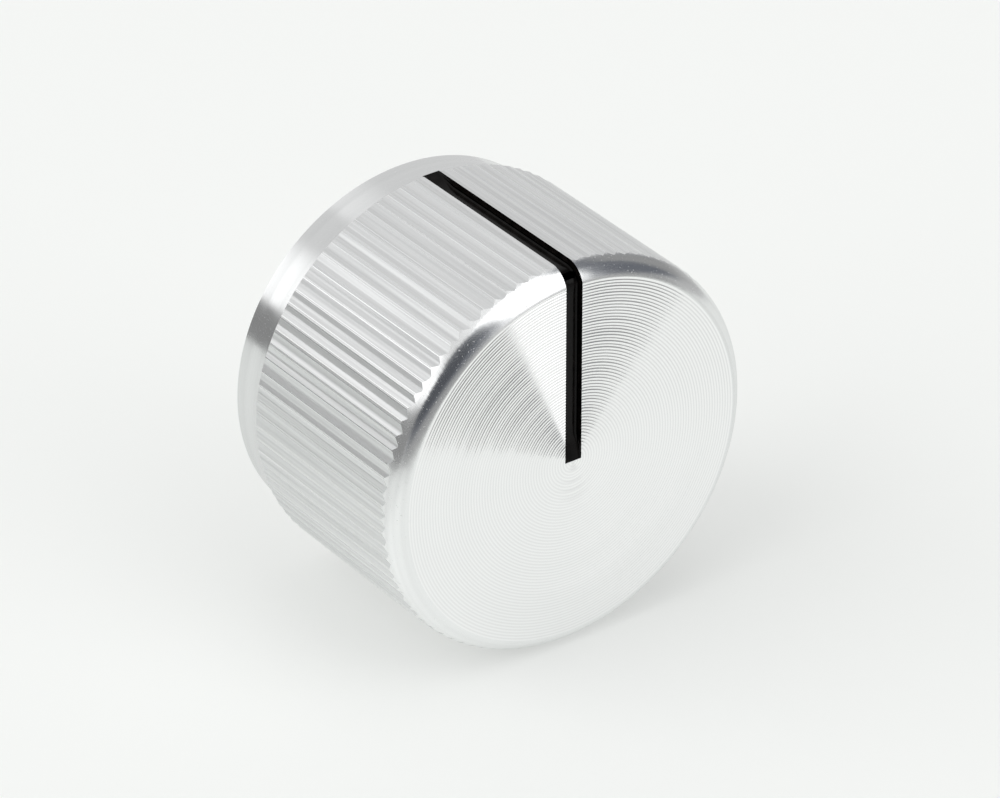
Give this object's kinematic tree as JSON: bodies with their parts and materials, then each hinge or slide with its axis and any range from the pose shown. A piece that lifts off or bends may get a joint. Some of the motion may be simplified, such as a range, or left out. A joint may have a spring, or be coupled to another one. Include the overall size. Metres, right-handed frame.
{
  "type": "control knob",
  "caption": "Turned aluminium control knob with a straight-knurled grip, plain base band, spun face, black pointer line, and a blind shaft bore with a set screw.",
  "frame": {"origin": "centre of the base face, on the shaft axis", "axes": "+Z along the shaft axis toward the front face, -Y toward the pointer line"},
  "size_m": [0.0254, 0.0254, 0.017],
  "materials": {
    "aluminium_body": "turned and polished, with fine concentric tool marks on the face",
    "black_paint": "black enamel filled into the milled slot",
    "screw_steel": "black oxide"
  },
  "bodies": {
    "root": {"knob_body": "aluminium_body", "indicator_fill": "black_paint", "set_screw": "screw_steel"}
  },
  "joints": []
}
